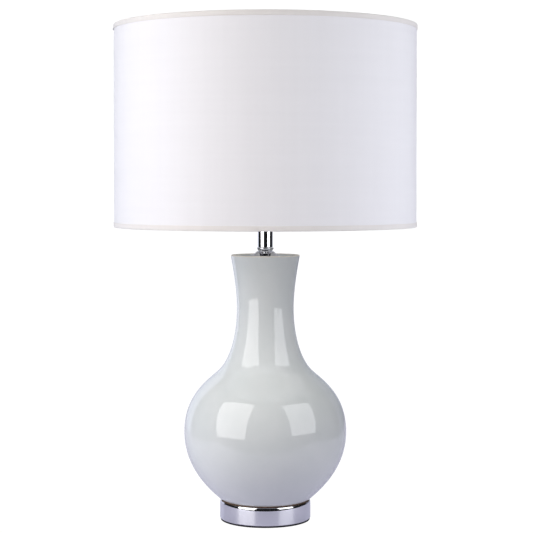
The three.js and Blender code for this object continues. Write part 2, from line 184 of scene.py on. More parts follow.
def swept(name, path, radii, sides=16, closed=False, sharp=50):
    """A round bar along a path; radii is one radius or one for each point. Open ends are capped."""
    path = [Vector(p) for p in path]
    count = len(path)
    if not hasattr(radii, "__len__"):
        radii = [radii] * count
    vertices, faces = [], []
    tangent = None
    across = None
    for i, point in enumerate(path):
        ahead = path[(i + 1) % count] if closed or i + 1 < count else path[i]
        behind = path[i - 1] if closed or i else path[i]
        direction = (ahead - behind).normalized()
        if across is None:
            across = direction.orthogonal().normalized()
        else:
            across.rotate(tangent.rotation_difference(direction))
        tangent = direction
        up = direction.cross(across)
        for k in range(sides):
            turn = k * FULL_TURN / sides
            vertices.append(point + (across * math.cos(turn) + up * math.sin(turn)) * radii[i])
    for i in range(count if closed else count - 1):
        a, b = i * sides, ((i + 1) % count) * sides
        for k in range(sides):
            n = (k + 1) % sides
            faces.append((a + k, a + n, b + n, b + k))
    if not closed:
        faces.append(tuple(range(sides - 1, -1, -1)))
        faces.append(tuple(range((count - 1) * sides, count * sides)))
    return add_object(name, vertices, faces, sharp)


def joined(name, *pieces):
    """Several meshes as one object, named name."""
    first = pieces[0]
    with bpy.context.temp_override(active_object=first, selected_editable_objects=list(pieces)):
        bpy.ops.object.join()
    first.name = name
    first.data.name = name
    return first


def slab(name, low, high, bevel):
    """A box between two corners with small bevelled edges."""
    corners = [(x, y, z) for x in (low[0], high[0]) for y in (low[1], high[1]) for z in (low[2], high[2])]
    faces = [(0, 1, 3, 2), (4, 6, 7, 5), (0, 4, 5, 1), (2, 3, 7, 6), (0, 2, 6, 4), (1, 5, 7, 3)]
    piece = add_object(name, corners, faces)
    soften = piece.modifiers.new("edges", "BEVEL")
    soften.width = bevel
    soften.segments = 2
    return apply_modifiers(piece)


def apply_modifiers(piece):
    """The piece's mesh with its modifiers worked in."""
    bpy.context.view_layer.update()
    evaluated = piece.evaluated_get(bpy.context.evaluated_depsgraph_get())
    mesh = bpy.data.meshes.new_from_object(evaluated)
    piece.modifiers.clear()
    piece.data = mesh
    return piece


def moved(piece, matrix):
    """The piece with its mesh moved, and its own place left at the origin."""
    piece.data.transform(matrix)
    return piece


def finish_piece(piece, body, look, slot, *nodes):
    """Gives a piece its material, body and fill lights, and the CAD nodes that it stands for; slot is not
    used.
    """
    piece.data.materials.clear()
    piece.data.materials.append(look)
    (SHADE_PIECES if body == "shade" else STEM_PIECES).objects.link(piece)
    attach(piece, body)
    if nodes:
        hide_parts(*nodes)
    return piece


# ---------------------------------------------------------------- material helpers


class Look:
    """A node material round one Principled shader, with short calls for the nodes it uses."""

    def __init__(self, name, **fixed):
        self.material = bpy.data.materials.new(name)
        self.material.use_nodes = True
        self.tree = self.material.node_tree
        self.shader = self.tree.nodes["Principled BSDF"]
        for socket, value in fixed.items():
            self.shader.inputs[socket.replace("_", " ")].default_value = value

    def node(self, kind, inputs=(), **settings):
        made = self.tree.nodes.new(kind)
        for key, value in settings.items():
            setattr(made, key, value)
        for key, value in dict(inputs).items():
            if isinstance(value, bpy.types.NodeSocket):
                self.tree.links.new(value, made.inputs[key])
            else:
                made.inputs[key].default_value = value
        return made

    def place(self, scale=(1, 1, 1)):
        """The piece's own coordinates, in metres, stretched by scale."""
        where = self.node("ShaderNodeTexCoord").outputs["Object"]
        return self.node("ShaderNodeMapping", {"Vector": where, "Scale": scale}).outputs[0]

    def noise(self, scale, detail=2.0, stretch=(1, 1, 1), roughness=0.5):
        inputs = {"Vector": self.place(stretch), "Scale": scale, "Detail": detail, "Roughness": roughness}
        return self.node("ShaderNodeTexNoise", inputs).outputs["Fac"]

    def math(self, operation, a, b=0.0):
        return self.node("ShaderNodeMath", {0: a, 1: b}, operation=operation).outputs[0]

    def between(self, value, low, high, in_low=0.0, in_high=1.0):
        """The value's range turned into another range."""
        inputs = {"Value": value, "From Min": in_low, "From Max": in_high, "To Min": low, "To Max": high}
        return self.node("ShaderNodeMapRange", inputs).outputs["Result"]

    def mix(self, factor, a, b):
        inputs = {"Factor": factor, 6: a, 7: b}
        return self.node("ShaderNodeMix", inputs, data_type="RGBA").outputs[2]

    def plug(self, socket, value):
        self.tree.links.new(value, self.shader.inputs[socket])

    def bump(self, height, distance, strength=1.0, onto=None):
        inputs = {"Height": height, "Distance": distance, "Strength": strength}
        if onto is not None:
            inputs["Normal"] = onto
        return self.node("ShaderNodeBump", inputs).outputs[0]


def rgb(red, green, blue):
    return (red, green, blue, 1.0)


def chrome_look():
    """Mirror plate with the faintest wipe marks."""
    look = Look("chrome_plate", Metallic=1.0, Base_Color=rgb(0.86, 0.865, 0.885))
    wipes = look.noise(60, 3, (1, 1, 0.25))
    look.plug("Roughness", look.between(wipes, 0.025, 0.075, 0.35, 0.7))
    look.plug("Normal", look.bump(look.noise(26, 2), 0.00015, 0.25))
    return look.material


def nickel_look():
    """Satin nickel-plated wire and sheet."""
    look = Look("satin_nickel", Metallic=1.0)
    grain = look.noise(900, 2, (1, 1, 0.1))
    look.plug("Base Color", look.mix(look.noise(40), rgb(0.56, 0.55, 0.53), rgb(0.68, 0.67, 0.65)))
    look.plug("Roughness", look.between(grain, 0.2, 0.36, 0.3, 0.7))
    look.plug("Normal", look.bump(grain, 0.0001, 0.3))
    return look.material


def brass_look():
    look = Look("turned_brass", Metallic=1.0)
    rings = look.noise(1400, 1, (0.05, 0.05, 1))
    look.plug("Base Color", look.mix(look.noise(70, 3), rgb(0.62, 0.43, 0.16), rgb(0.78, 0.58, 0.26)))
    look.plug("Roughness", look.between(rings, 0.16, 0.32, 0.3, 0.7))
    look.plug("Normal", look.bump(rings, 0.00008, 0.4))
    return look.material


def aluminium_look():
    look = Look("pressed_aluminium", Metallic=1.0)
    look.plug("Base Color", look.mix(look.noise(90, 3), rgb(0.66, 0.67, 0.69), rgb(0.8, 0.8, 0.82)))
    look.plug("Roughness", look.between(look.noise(500, 2), 0.25, 0.42, 0.3, 0.7))
    return look.material


def iron_look():
    look = Look("cast_iron", Metallic=0.7)
    skin = look.noise(420, 5, roughness=0.65)
    look.plug("Base Color", look.mix(skin, rgb(0.03, 0.03, 0.032), rgb(0.1, 0.095, 0.09)))
    look.plug("Roughness", look.between(skin, 0.55, 0.85, 0.3, 0.7))
    look.plug("Normal", look.bump(skin, 0.0006, 0.6))
    return look.material


def glaze_look():
    """Pale celadon glaze: faint mottling, specks and a liquid-smooth skin."""
    look = Look("celadon_glaze", Coat_Weight=0.35, Coat_Roughness=0.02, Specular_IOR_Level=0.5)
    mottle = look.noise(22, 4, roughness=0.6)
    base = look.mix(look.between(mottle, 0, 1, 0.3, 0.7), rgb(0.73, 0.76, 0.75), rgb(0.77, 0.79, 0.78))
    specks = look.noise(520, 1)
    speckled = look.mix(look.between(specks, 0, 0.35, 0.74, 0.8), base, rgb(0.66, 0.71, 0.71))
    look.plug("Base Color", speckled)
    look.plug("Roughness", look.between(look.noise(45, 2), 0.02, 0.045, 0.3, 0.7))
    look.plug("Normal", look.bump(look.noise(9, 2), 0.0012, 0.12))
    return look.material


def bare_clay_look():
    """The wiped rim, where the glaze breaks to warm bare clay."""
    look = Look("bare_clay_rim", Roughness=0.55)
    grain = look.noise(700, 4)
    look.plug("Base Color", look.mix(grain, rgb(0.66, 0.61, 0.53), rgb(0.86, 0.82, 0.74)))
    look.plug("Normal", look.bump(grain, 0.0002, 0.5))
    return look.material


def weave_height(look, radius, pitch):
    """Height of a plain weave wrapped round +Z: threads over and under each other."""
    where = look.node("ShaderNodeTexCoord").outputs["Object"]
    axes = look.node("ShaderNodeSeparateXYZ", {"Vector": where})
    backwards = look.math("MULTIPLY", axes.outputs["Y"], -1.0)
    turn = look.math("ARCTAN2", axes.outputs["X"], backwards)
    around = look.math("MULTIPLY", turn, radius / pitch * math.pi)
    along = look.math("MULTIPLY", axes.outputs["Z"], math.pi / pitch)
    warp = look.math("ABSOLUTE", look.math("SINE", around))
    weft = look.math("ABSOLUTE", look.math("SINE", along))
    crossing = look.math("MULTIPLY", look.math("COSINE", around), look.math("COSINE", along))
    over = look.between(crossing, 0, 1, -0.25, 0.25)
    return look.node("ShaderNodeMix", {"Factor": over, "A": warp, "B": weft}, data_type="FLOAT").outputs[0]


def slubs(look):
    """Long thin streaks where a thread runs thicker, both ways of the weave."""
    upright = look.noise(120, 3, (1, 1, 0.03))
    level = look.noise(150, 3, (0.03, 0.03, 1))
    return look.math("MULTIPLY", look.math("ADD", upright, level), 0.5)


def fabric_look(name, dark, pale, radius):
    """Pale plain-weave cloth with slubs and a soft sheen."""
    look = Look(name, Sheen_Weight=0.25, Sheen_Roughness=0.45, Specular_IOR_Level=0.25, Roughness=0.82)
    streaks = look.between(slubs(look), 0, 1, 0.35, 0.65)
    look.plug("Base Color", look.mix(streaks, dark, pale))
    weave = look.bump(weave_height(look, radius, 0.55 * MM), 0.00012, 0.35)
    look.plug("Normal", look.bump(streaks, 0.00012, 0.12, weave))
    return look.material


def styrene_look():
    look = Look("styrene_liner", Roughness=0.42)
    look.plug("Base Color", look.mix(look.noise(14, 3), rgb(0.86, 0.855, 0.83), rgb(0.91, 0.905, 0.885)))
    look.plug("Normal", look.bump(look.noise(35, 2), 0.0003, 0.2))
    return look.material


def felt_look():
    look = Look("black_felt", Roughness=1.0, Sheen_Weight=0.05, Sheen_Roughness=0.6, Specular_IOR_Level=0.1)
    fibres = look.noise(1500, 4, roughness=0.7)
    look.plug("Base Color", look.mix(fibres, rgb(0.008, 0.008, 0.012), rgb(0.035, 0.033, 0.042)))
    look.plug("Normal", look.bump(fibres, 0.0005, 0.8))
    return look.material


def cork_gap_shade_look():
    look = Look("granulated_cork_and_gap_shade", Roughness=0.9)
    where = look.place()
    grains = look.node("ShaderNodeTexVoronoi", {"Vector": where, "Scale": 650.0})
    tone = look.node("ShaderNodeSeparateColor", {"Color": grains.outputs["Color"]}).outputs[0]
    # Real cork tones, darkened further: painted shade of the narrow gap under the vase's foot.
    look.plug("Base Color", look.mix(tone, rgb(0.07, 0.04, 0.022), rgb(0.2, 0.125, 0.075)))
    look.plug("Normal", look.bump(grains.outputs["Distance"], 0.0004, 0.6))
    return look.material


def plastic_look(name, dark, pale, roughness):
    look = Look(name)
    grain = look.noise(1100, 2)
    look.plug("Base Color", look.mix(look.noise(60, 3), dark, pale))
    look.plug("Roughness", look.between(grain, roughness - 0.05, roughness + 0.08, 0.3, 0.7))
    look.plug("Normal", look.bump(grain, 0.0001, 0.35))
    return look.material


def card_look():
    look = Look("fibre_card", Roughness=0.75)
    fibres = look.noise(400, 4, (1, 1, 0.3))
    look.plug("Base Color", look.mix(fibres, rgb(0.3, 0.19, 0.1), rgb(0.5, 0.36, 0.22)))
    look.plug("Normal", look.bump(fibres, 0.0002, 0.4))
    return look.material


def milk_glass_look():
    look = Look("milk_glass", Coat_Weight=0.5, Coat_Roughness=0.05, Specular_IOR_Level=0.5)
    look.plug("Base Color", look.mix(look.noise(30, 2), rgb(0.86, 0.86, 0.84), rgb(0.93, 0.93, 0.915)))
    look.plug("Roughness", look.between(look.noise(300, 2), 0.22, 0.34, 0.3, 0.7))
    return look.material


CHROME = chrome_look()
NICKEL = nickel_look()
BRASS = brass_look()
ALUMINIUM = aluminium_look()
IRON = iron_look()
GLAZE = glaze_look()
BARE_CLAY = bare_clay_look()
FABRIC = fabric_look("shade_weave", rgb(0.825, 0.815, 0.84), rgb(0.84, 0.83, 0.855), SKIN_RADIUS)
TRIM = fabric_look("trim_cloth", rgb(0.765, 0.735, 0.715), rgb(0.79, 0.76, 0.74), SHADE_RADIUS)
STYRENE = styrene_look()
FELT = felt_look()
CORK_AND_GAP_SHADE = cork_gap_shade_look()
BLACK_PLASTIC = plastic_look("black_plastic", rgb(0.012, 0.012, 0.014), rgb(0.026, 0.026, 0.028), 0.42)
RUBBER = plastic_look("soft_rubber", rgb(0.014, 0.014, 0.016), rgb(0.03, 0.03, 0.032), 0.7)
CARD = card_look()
MILK_GLASS = milk_glass_look()

# ---------------------------------------------------------------- camera, light and floor

SENSOR_WIDTH = 36
LENS = 104.6
DISTANCE = 2.05
EYE_HEIGHT = 0.447
AXIS_OFFSET = 1.6 * MM
DOWNWARD = 1.538  # degrees that the camera looks down
SHIFT = -0.08  # raises the lamp in the frame


def make_camera():
    camera = bpy.data.objects.new("camera", bpy.data.cameras.new("camera"))
    bpy.context.scene.collection.objects.link(camera)
    camera.data.sensor_width = SENSOR_WIDTH
    camera.data.lens = LENS
    camera.data.shift_y = SHIFT
    camera.data.clip_end = 50
    camera.location = (AXIS_OFFSET, -DISTANCE, EYE_HEIGHT)
    camera.rotation_euler = (math.radians(90 - DOWNWARD), 0, 0)
    bpy.context.scene.camera = camera


SOFTBOX_LEAN = math.radians(26.5)  # they lean in over the lamp
WHITE = 1.05  # strength of what the camera sees as white, with a little to spare


def softbox(name, azimuth, distance, height, wide, tall, radiance, lean=SOFTBOX_LEAN, past=0):
    """A softbox azimuth degrees to the right of the lamp's front, that faces past degrees behind the lamp."""
    data = bpy.data.lights.new(name, "AREA")
    data.shape = "RECTANGLE"
    data.size, data.size_y = wide, tall
    strongest = max(radiance)
    data.energy = strongest * math.pi * wide * tall
    data.color = [share / strongest for share in radiance]
    light = bpy.data.objects.new(name, data)
    bpy.context.scene.collection.objects.link(light)
    turn = math.radians(azimuth)
    light.location = (distance * math.sin(turn), -distance * math.cos(turn), height)
    facing = turn + math.radians(-past if azimuth > 0 else past)
    level = Vector((-math.sin(facing), math.cos(facing), 0))
    aim = level * math.cos(lean) - Vector((0, 0, math.sin(lean)))
    light.rotation_euler = aim.to_track_quat("-Z", "Y").to_euler()
    light.visible_camera = False
    return light


def fill(name, azimuth, height, radiance, lit=None, lean=0):
    """A dim softbox that no gloss shows, for every piece or for those in one collection."""
    light = softbox(name, azimuth, 1.1, height, 0.8, 0.8, radiance, lean)
    light.visible_glossy = False
    if lit:
        light.light_linking.receiver_collection = lit


SHADE_PIECES = bpy.data.collections.new("shade_pieces")
STEM_PIECES = bpy.data.collections.new("stem_pieces")


def make_lights():
    """Two softboxes that gloss shows, and what it does not: light down out of the shade, and fills."""
    softbox("softbox_left", -53, 1.04, 0.58, 1.0, 1.19, (3.1, 3.05, 3.03), past=18)
    softbox("softbox_right", 58.5, 1.1, 0.62, 0.9, 1.06, (2.42, 2.44, 2.5), past=18)
    fill("fill_stem", -100, 0.4, (1.0, 1.15, 1.35), STEM_PIECES)
    glow = softbox("shade_glow", 0, 0, SHADE_BOTTOM + 6 * MM, 0.38, 0.38, (0.22, 0.22, 0.214), math.pi / 2)
    glow.data.shape = "DISK"
    glow.visible_glossy = False
    fill("fill_shade_left", -100, 0.4, (0.3, 0.5, 0.8), SHADE_PIECES)
    fill("fill_shade_front", -24, 0.2, (0.85, 0.81, 0.83), SHADE_PIECES)
    fill("fill_shade_right", 76, 0.4, (1.85, 1.9, 2.1), SHADE_PIECES)
    fill("fill_back", 180, 1.15, (3.6, 3.6, 3.6), lean=math.radians(35))
    fill("fill_back_low", 180, 0.3, (1.6, 1.6, 1.6))


def make_world():
    """White for the camera. In reflections, a dark room whose backdrop is brighter on the left."""
    world = bpy.data.worlds.new("studio")
    bpy.context.scene.world = world
    world.use_nodes = True
    nodes, links = world.node_tree.nodes, world.node_tree.links
    nodes.clear()

    def ramp(value, low, high):
        made = nodes.new("ShaderNodeMapRange")
        made.inputs["From Min"].default_value = low
        made.inputs["From Max"].default_value = high
        links.new(value, made.inputs["Value"])
        return made.outputs["Result"]

    def blend(factor, first, second):
        made = nodes.new("ShaderNodeMix")
        made.data_type = "RGBA"
        links.new(factor, made.inputs["Factor"])
        for socket, colour in ((made.inputs[6], first), (made.inputs[7], second)):
            if isinstance(colour, bpy.types.NodeSocket):
                links.new(colour, socket)
            else:
                socket.default_value = colour
        return made.outputs[2]

    axes = nodes.new("ShaderNodeSeparateXYZ")
    links.new(nodes.new("ShaderNodeTexCoord").outputs["Generated"], axes.inputs[0])
    backdrop = blend(ramp(axes.outputs["X"], -0.5, 0.5), rgb(0.7, 0.74, 0.9), rgb(0.21, 0.225, 0.285))
    room = blend(ramp(axes.outputs["Y"], 0.62, 0.68), rgb(0.014, 0.014, 0.015), backdrop)
    studio = nodes.new("ShaderNodeBackground")
    links.new(room, studio.inputs["Color"])
    white = nodes.new("ShaderNodeBackground")
    white.inputs["Color"].default_value = rgb(1, 1, 1)
    white.inputs["Strength"].default_value = WHITE
    path = nodes.new("ShaderNodeLightPath")
    pick = nodes.new("ShaderNodeMixShader")
    links.new(path.outputs["Is Camera Ray"], pick.inputs[0])
    links.new(studio.outputs[0], pick.inputs[1])
    links.new(white.outputs[0], pick.inputs[2])
    output = nodes.new("ShaderNodeOutputWorld")
    links.new(pick.outputs[0], output.inputs["Surface"])


def plane(name, low, high, height):
    (left, front), (right, back) = low, high
    corners = [(left, front, height), (right, front, height), (right, back, height), (left, back, height)]
    piece = add_object(name, corners, [(0, 1, 2, 3)])
    return piece


def floor_look():
    """Paper that stays white without shadows, and can be seen through from below."""
    look = Look("floor_paper", Base_Color=rgb(0, 0, 0), Roughness=1.0, Specular_IOR_Level=0.0)
    look.shader.inputs["Emission Color"].default_value = rgb(1, 1, 1)
    look.shader.inputs["Emission Strength"].default_value = WHITE
    pick = look.node("ShaderNodeMixShader", {0: look.node("ShaderNodeNewGeometry").outputs["Backfacing"]})
    look.tree.links.new(look.shader.outputs[0], pick.inputs[1])
    look.tree.links.new(look.node("ShaderNodeBsdfTransparent").outputs[0], pick.inputs[2])
    look.tree.links.new(pick.outputs[0], look.tree.nodes["Material Output"].inputs["Surface"])
    return look.material


def table_look():
    """Satin lilac-grey board with a glow of its own, so that it shows in the glaze below the horizon."""
    look = Look("table_board", Base_Color=rgb(0.34, 0.33, 0.39), Roughness=0.42, Specular_IOR_Level=0.3)
    look.shader.inputs["Emission Color"].default_value = rgb(0.22, 0.22, 0.285)
    look.shader.inputs["Emission Strength"].default_value = 1.0
    return look.material


def make_floor():
    """A white floor that only the camera sees, and the table that only the lamp sees."""
    floor = plane("floor", (-6, -6), (6, 6), -0.3 * MM)
    floor.data.materials.append(floor_look())
    floor.visible_glossy = False
    floor.visible_diffuse = False
    floor.visible_shadow = False
    table = plane("table_top", (-0.7, -0.33), (0.7, 2.0), -0.6 * MM)
    table.data.materials.append(table_look())
    table.visible_camera = False


def set_colour():
    view = bpy.context.scene.view_settings
    view.view_transform = "Standard"
    view.look = "None"
    view.exposure = 0
    view.gamma = 1


make_camera()
make_world()
make_lights()
make_floor()
set_colour()

# ---------------------------------------------------------------- base

BASE_WALL = 1.2
BASE_HOLE = 5.4
SHOULDER_DROP = 4.3  # from the top down to where the side wall starts to lean in
SHOULDER_BENDS = ((6.0, 0, 3.5), (26.0, 3.5, 8.5), (3.6, 8.5, 38))  # radius, slope in degrees from, and to
BEND_STEPS = 8


def make_base_shell():
    """Pressed drum: straight wall, rolled shoulder, flat top, and a turned-in bottom edge."""
    radius, bottom, top = BASE_RADIUS / MM, BASE_BOTTOM / MM, BASE_TOP / MM
    start = top - SHOULDER_DROP
    shoulder, at = [], Vector((radius, start))
    for bend, low, high in SHOULDER_BENDS:
        centre = at - bend * Vector((math.cos(math.radians(low)), math.sin(math.radians(low))))
        for i in range(BEND_STEPS + 1):
            a = math.radians(low + (high - low) * i / BEND_STEPS)
            at = centre + bend * Vector((math.cos(a), math.sin(a)))
            shoulder.append((at.x, at.y, 0))
    flat = shoulder[-1][0] - 0.7
    outer = [
        (radius - 0.5, bottom, 0.3), (radius, bottom + 0.7, 0.4), *shoulder, (flat, top, 0.25),
        (BASE_HOLE, top, 0.2),
    ]
    inner = [
        (BASE_HOLE, top - BASE_WALL, 0), (radius - 3.2, top - BASE_WALL, 1.5),
        (radius - BASE_WALL, start - 1, 1.0), (radius - BASE_WALL, bottom, 0.2),
    ]
    return turned("base_shell_plated", filleted(outer + inner), 256, closed=True, sharp=30)


def drill(piece, tool):
    """Cuts the tool out of the piece and deletes the tool."""
    cutter = piece.modifiers.new("drill", "BOOLEAN")
    cutter.operation = "DIFFERENCE"
    cutter.solver = "EXACT"
    cutter.object = tool
    apply_modifiers(piece)
    bpy.data.objects.remove(tool)
    piece.data.set_sharp_from_angle(angle=math.radians(30))
    return piece


def make_base():
    bushing_low, bushing_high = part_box("cord_inlet_bushing")
    inlet = (bushing_low + bushing_high) / 2
    hole = swept("inlet_hole", [(0, inlet.y - 0.01, inlet.z), (0, inlet.y + 0.01, inlet.z)], 5.2 * MM, 48)
    shell = drill(make_base_shell(), hole)
    finish_piece(shell, "lamp_base", CHROME, "chrome", "base_shell")

    radius = radius_of("base_pad") / MM
    top = span_of("base_pad")[1] / MM
    corners = [(0, 0, 0), (radius, 0, 0.5), (radius, top, 0.5), (0, top, 0)]
    pad = turned("base_pad_felt", filleted(corners), 192)
    finish_piece(pad, "lamp_base", FELT, "black_felt", "base_pad")

    low, high = span_of("foot_gasket")
    radius = radius_of("foot_gasket") / MM
    corners = [(44, low / MM, 0.3), (radius, low / MM, 0.4), (radius, high / MM, 0.4), (44, high / MM, 0.3)]
    gasket = turned("foot_gasket_cork", filleted(corners), 160, closed=True)
    finish_piece(gasket, "lamp_base", CORK_AND_GAP_SHADE, "cork", "foot_gasket")

    depth = (bushing_high.y - bushing_low.y) / MM
    corners = [
        (3.3, 0, 0.3), (6.4, 0, 0.4), (6.4, 1.6, 0.2), (4.9, 1.6, 0.2), (4.9, depth - 2, 0.2),
        (6.6, depth - 2, 0.3), (6.6, depth - 0.8, 0.8), (5.2, depth, 0.6), (3.3, depth, 0.8),
    ]
    bushing = turned("cord_inlet_bushing_moulded", filleted(corners), 64, closed=True)
    moved(bushing, Matrix.Translation((0, bushing_low.y, inlet.z)) @ Matrix.Rotation(-math.pi / 2, 4, "X"))
    finish_piece(bushing, "lamp_base", BLACK_PLASTIC, "black_plastic", "cord_inlet_bushing")


# ---------------------------------------------------------------- vase

VASE_ARCS = [
    [(58.7, 27.5), (78, 43.6), (107.4, 72), (107.4, 117)],
    [(107.4, 117), (107.4, 165.5), (75.0, 185.3), (62.4, 197.2)],
    [(62.4, 197.2), (45.0, 213.6), (37.6, 249.6), (37.6, 279.8)],
    [(37.6, 279.8), (37.6, 306), (42.5, 331), (45.6, 350)],
]
VASE_WALL = 5.5
VASE_FLOOR = 36
BARE_RIM = 1.25 * MM  # how far down the rim is wiped bare of glaze
BARE_FOOT = 0.6 * MM


def bezier(corners, t):
    a, b, c, d = [Vector(p) for p in corners]
    s = 1 - t
    point = a * s**3 + b * 3 * s * s * t + c * 3 * s * t * t + d * t**3
    along = ((b - a) * s * s + (c - b) * 2 * s * t + (d - c) * t * t).normalized()
    return point, along


def vase_outline(inset, steps):
    """The vase's outer outline in millimetres, or one inside it by the inset."""
    points = []
    for which, corners in enumerate(VASE_ARCS):
        for i in range(0 if which == 0 else 1, steps + 1):
            point, along = bezier(corners, i / steps)
            points.append((point.x - inset * along.y, point.y + inset * along.x, 0))
    return points


def make_vase():
    inner = [p for p in vase_outline(VASE_WALL, 16) if VASE_FLOOR + 4 < p[1] < 347]
    outer = vase_outline(0, 28)
    outer[0] = (58.7, 28.1, 0.5)
    corners = [
        (6, 30.5, 0.3), (50, 30.5, 1.2), (51, 27.5, 0.8), (57.9, 27.5, 0.7), *outer[:-1],
        (45.6, 350.2, 0.9), (44.9, 351, 0.7), (41.2, 351, 0.8), (40.1, 349.6, 0.8),
        *reversed(inner), (30, VASE_FLOOR, 3), (6, VASE_FLOOR, 0.3),
    ]
    vase = turned("vase_glazed", filleted(corners, 4), 256, closed=True, sharp=50)
    finish_piece(vase, "lamp_base", GLAZE, "glazed_ceramic", "vase_body")
    vase.data.materials.append(BARE_CLAY)
    rim, foot = VASE_TOP - BARE_RIM, VASE_BOTTOM + BARE_FOOT
    for face in vase.data.polygons:
        if face.center.z > rim or face.center.z < foot:
            face.material_index = 1


# ---------------------------------------------------------------- neck


def make_neck():
    top = span_of("vase_cap")[1] / MM
    wall = 0.9
    flank = [
        (11.3, top, 0.5), (14.0, top - 2.7, 2), (20.4, top - 6.6, 4), (29, top - 10, 4),
        (37.2, top - 12.2, 1), (38, top - 12.4, 0.2),
    ]
    under = [(r, z - wall, fillet) for r, z, fillet in flank]
    corners = [(PIPE_BORE, top - wall, 0), *under, *reversed(flank), (PIPE_BORE, top, 0)]
    cap = turned("vase_cap_spun", filleted(corners, 6), 160, closed=True)
    finish_piece(cap, "lamp_base", CHROME, "chrome", "vase_cap")

    low, high = [z / MM for z in span_of("check_ring")]
    radius = radius_of("check_ring") / MM
    corners = [
        (PIPE_BORE, low, 0.1), (radius - 2.1, low, 0.3), (radius, high - 1.8, 0.5),
        (radius, high - 0.8, 0.4), (radius - 0.7, high, 0.3), (PIPE_BORE, high, 0.1),
    ]
    ring = turned("check_ring_turned", filleted(corners), 128, closed=True)
    finish_piece(ring, "lamp_base", CHROME, "chrome", "check_ring")

    low, high = [z / MM for z in span_of("neck_tube")]
    radius = radius_of("neck_tube") / MM
    corners = [(radius - 1, low, 0.1), (radius, low, 0.2), (radius, high, 0.2), (radius - 1, high, 0.1)]
    tube = turned("neck_tube_plated", filleted(corners), 128, closed=True)
    finish_piece(tube, "lamp_base", CHROME, "chrome", "neck_tube")


# ---------------------------------------------------------------- socket and switch


def make_socket():
    low, high = [z / MM for z in span_of("socket_cap")]
    radius = radius_of("socket_cap") / MM
    wall, neck = 0.8, 8.6
    corners = [
        (PIPE_BORE, low, 0.2), (neck, low, 0.4), (neck, low + 4, 2.5), (radius - 2, low + 9, 3),
        (radius, low + 12, 1.5), (radius, high - 2.4, 0.2), (radius - 0.5, high - 1.8, 0.3),
        (radius, high - 1.2, 0.3), (radius, high, 0.2), (radius - wall, high, 0.1),
        (radius - wall, low + 12.4, 1), (radius - 2 - wall, low + 9.6, 2), (neck - wall, low + 5.4, 0.5),
        (PIPE_BORE, low + 5.4, 0.1),
    ]
    cap = turned("socket_cap_spun", filleted(corners), 128, closed=True)
    finish_piece(cap, "lamp_base", CHROME, "chrome", "socket_cap")

    low, high = [z / MM for z in span_of("socket_shell")]
    radius = radius_of("socket_shell") / MM
    corners = [
        (radius - 0.7, low, 0.1), (radius, low, 0.1), (radius, low + 22.5, 0.4),
        (radius - 0.6, low + 23.5, 0.6), (radius, low + 24.5, 0.6), (radius, low + 26.5, 0.4),
        (radius - 0.6, low + 27.5, 0.6), (radius, low + 28.5, 0.4), (radius, high - 1, 0.5),
        (radius - 0.45, high, 0.2), (radius - 0.9, high, 0.2), (radius - 0.7, high - 1, 0.1),
    ]
    shell = turned("socket_shell_spun", filleted(corners), 128, closed=True)
    knob_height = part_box("switch_shaft")[0].z + radius_of("switch_shaft")
    path = [(0, -0.005, knob_height), (0, -0.023, knob_height)]
    drill(shell, swept("knob_hole", path, 4 * MM, 40))
    finish_piece(shell, "lamp_base", CHROME, "chrome", "socket_shell")

    front, back = [corner.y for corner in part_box("switch_knob")]
    long = (back - front) / MM
    radius = radius_of("switch_knob") / MM
    corners = [(0, 0, 0), (3.4, 0, 0.2), (3.4, 2, 0.3), (radius - 0.2, 2.7, 0.4)]
    corners += ladder(radius, 3.4, long - 1.4, 0.8)
    corners += [(radius - 0.9, long, 0.6), (radius - 1.8, long - 0.35, 0.4), (0, long - 0.35, 0)]
    knob = turned("switch_knob_fluted", filleted(corners), 144, worked=flutes(12, 0.75, radius))
    moved(knob, Matrix.Translation((0, back, knob_height)) @ Matrix.Rotation(math.pi / 2, 4, "X"))
    finish_piece(knob, "switch", BLACK_PLASTIC, "black_plastic", "switch_knob")


# ---------------------------------------------------------------- bulb


def make_bulb():
    low, high = [z / MM for z in span_of("bulb_screw_base")]
    radius = radius_of("bulb_screw_base") / MM
    crest = radius - 0.1
    corners = [(0, low, 0), (6, low, 0.3), (9, low + 0.6, 0.8), (crest - 1, low + 3, 0.8)]
    corners += ladder(crest, low + 4, high - 5, 0.35)
    corners += [(crest - 0.3, high - 4.4, 0.3), (radius, high - 3.6, 0.4), (radius, high, 0.3), (0, high, 0)]
    screw = thread(3.63, 0.8, low + 4, high - 5, crest)
    base = turned("bulb_base_rolled_thread", filleted(corners), 96, worked=screw)
    finish_piece(base, "bulb", ALUMINIUM, "aluminium", "bulb_screw_base")

    low, high = [z / MM for z in span_of("bulb_glass")]
    radius = radius_of("bulb_glass") / MM
    centre = high - radius
    dome = [(radius * math.cos(a), centre + radius * math.sin(a), 0) for a in
            (math.radians(-30 + 120 * i / 40) for i in range(40))]
    flare = [(13.2, low), (14.0, low + 6), (17.3, low + 16), (22, low + 26.5), dome[0][:2]]
    throat = spline([(r, 0, z) for r, z in flare], 8)
    corners = [(0, low, 0), (12.6, low, 0.3)] + [(p.x, p.z, 0) for p in throat[:-1]] + dome + [(0, high, 0)]
    glass = turned("bulb_glass_blown", filleted(corners), 128)
    finish_piece(glass, "bulb", MILK_GLASS, "milk_glass", "bulb_glass")


# ---------------------------------------------------------------- harp

HARP_WIRE = 1.75 * MM


